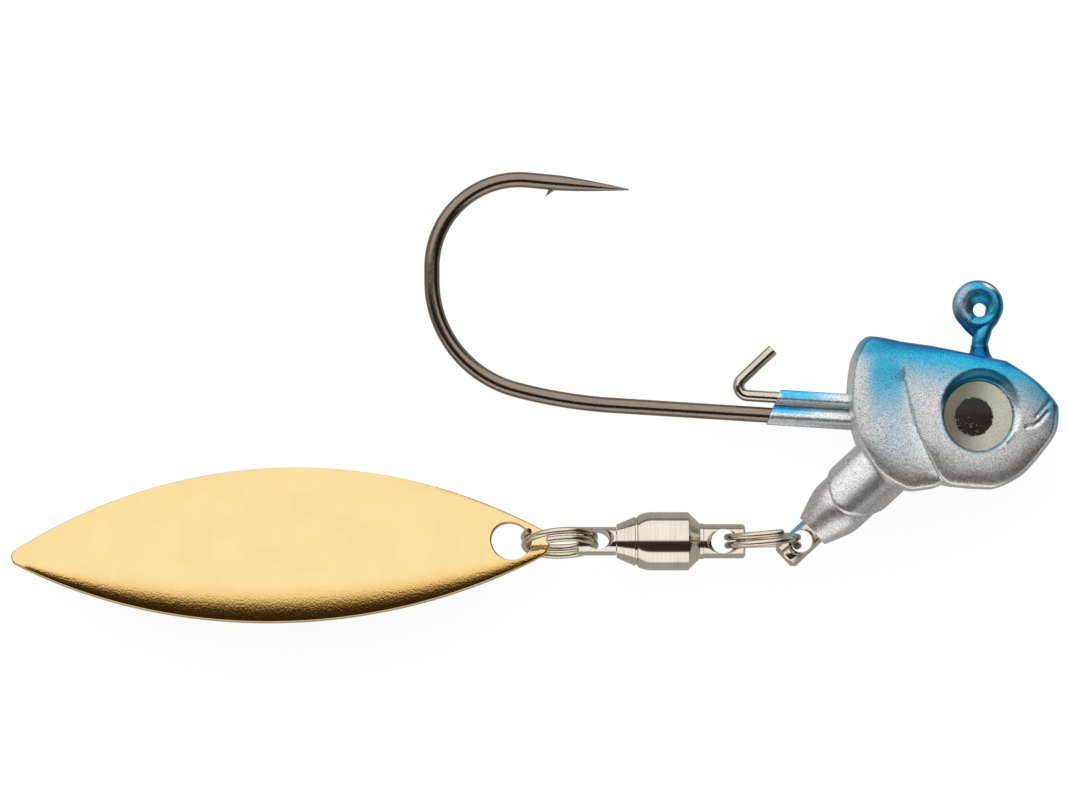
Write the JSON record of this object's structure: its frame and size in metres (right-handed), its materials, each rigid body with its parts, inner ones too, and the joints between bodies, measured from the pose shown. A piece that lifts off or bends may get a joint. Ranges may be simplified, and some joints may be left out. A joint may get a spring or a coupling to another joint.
{
  "type": "underspin jig head",
  "caption": "Painted fish-head jig on a bent hook, with a cupped willow-leaf blade spinning below it on split rings and a ball-bearing swivel.",
  "frame": {"origin": "centre of the hole in the line-tie eye, on the casting's middle plane", "axes": "+X to the fish head's nose, +Y to the hook point, +Z out of the near cheek; the part lies on its side"},
  "size_m": [0.0837, 0.0362, 0.0106],
  "materials": {
    "paint": "pearl lacquer, azure back fading to grainy silver",
    "black_nickel": "black nickel, glossy",
    "nickel": "bright nickel plate",
    "ring_steel": "bright spring steel",
    "bearing_steel": "ground",
    "iris_print": "printed film",
    "clear_resin": "clear dome",
    "gold_plate": "mirror gold plate"
  },
  "bodies": {
    "head": {"head_casting": "paint", "hook": "black_nickel", "bait_keeper": "nickel", "hanger_eye": "nickel", "near_eye_film": "iris_print", "near_eye_dome": "clear_resin", "far_eye_film": "iris_print", "far_eye_dome": "clear_resin"},
    "front_ring": {"front_split_ring": "ring_steel"},
    "barrel": {"swivel_barrel": "nickel", "swivel_cap": "nickel", "bearing_balls": "bearing_steel"},
    "shaft": {"swivel_shaft": "nickel", "thrust_collar": "bearing_steel"},
    "rear_ring": {"rear_split_ring": "ring_steel"},
    "blade": {"blade": "gold_plate"}
  },
  "joints": [
    {"name": "hanger_swing", "type": "hinge", "parent": "head", "child": "front_ring", "pos_m": [-0.01427, -0.01851, 0], "axis": [0, 0, 1], "range_deg": [-15, 110]},
    {"name": "swivel_slew", "type": "hinge", "parent": "front_ring", "child": "barrel", "pos_m": [-0.01737, -0.01851, 0], "axis": [-0.0621, 0.9981, 0], "range_deg": [-45, 45]},
    {"name": "blade_spin", "type": "hinge", "parent": "barrel", "child": "shaft", "pos_m": [-0.03052, -0.01851, 0], "axis": [1, 0, 0], "continuous": true},
    {"name": "rear_ring_swing", "type": "hinge", "parent": "shaft", "child": "rear_ring", "pos_m": [-0.03052, -0.01851, 0], "axis": [0, 0.3256, 0.9455], "range_deg": [-60, 60]},
    {"name": "blade_slew", "type": "hinge", "parent": "rear_ring", "child": "blade", "pos_m": [-0.03363, -0.01851, 0], "axis": [-0.0621, 0.9437, -0.3249], "range_deg": [-50, 50]}
  ]
}
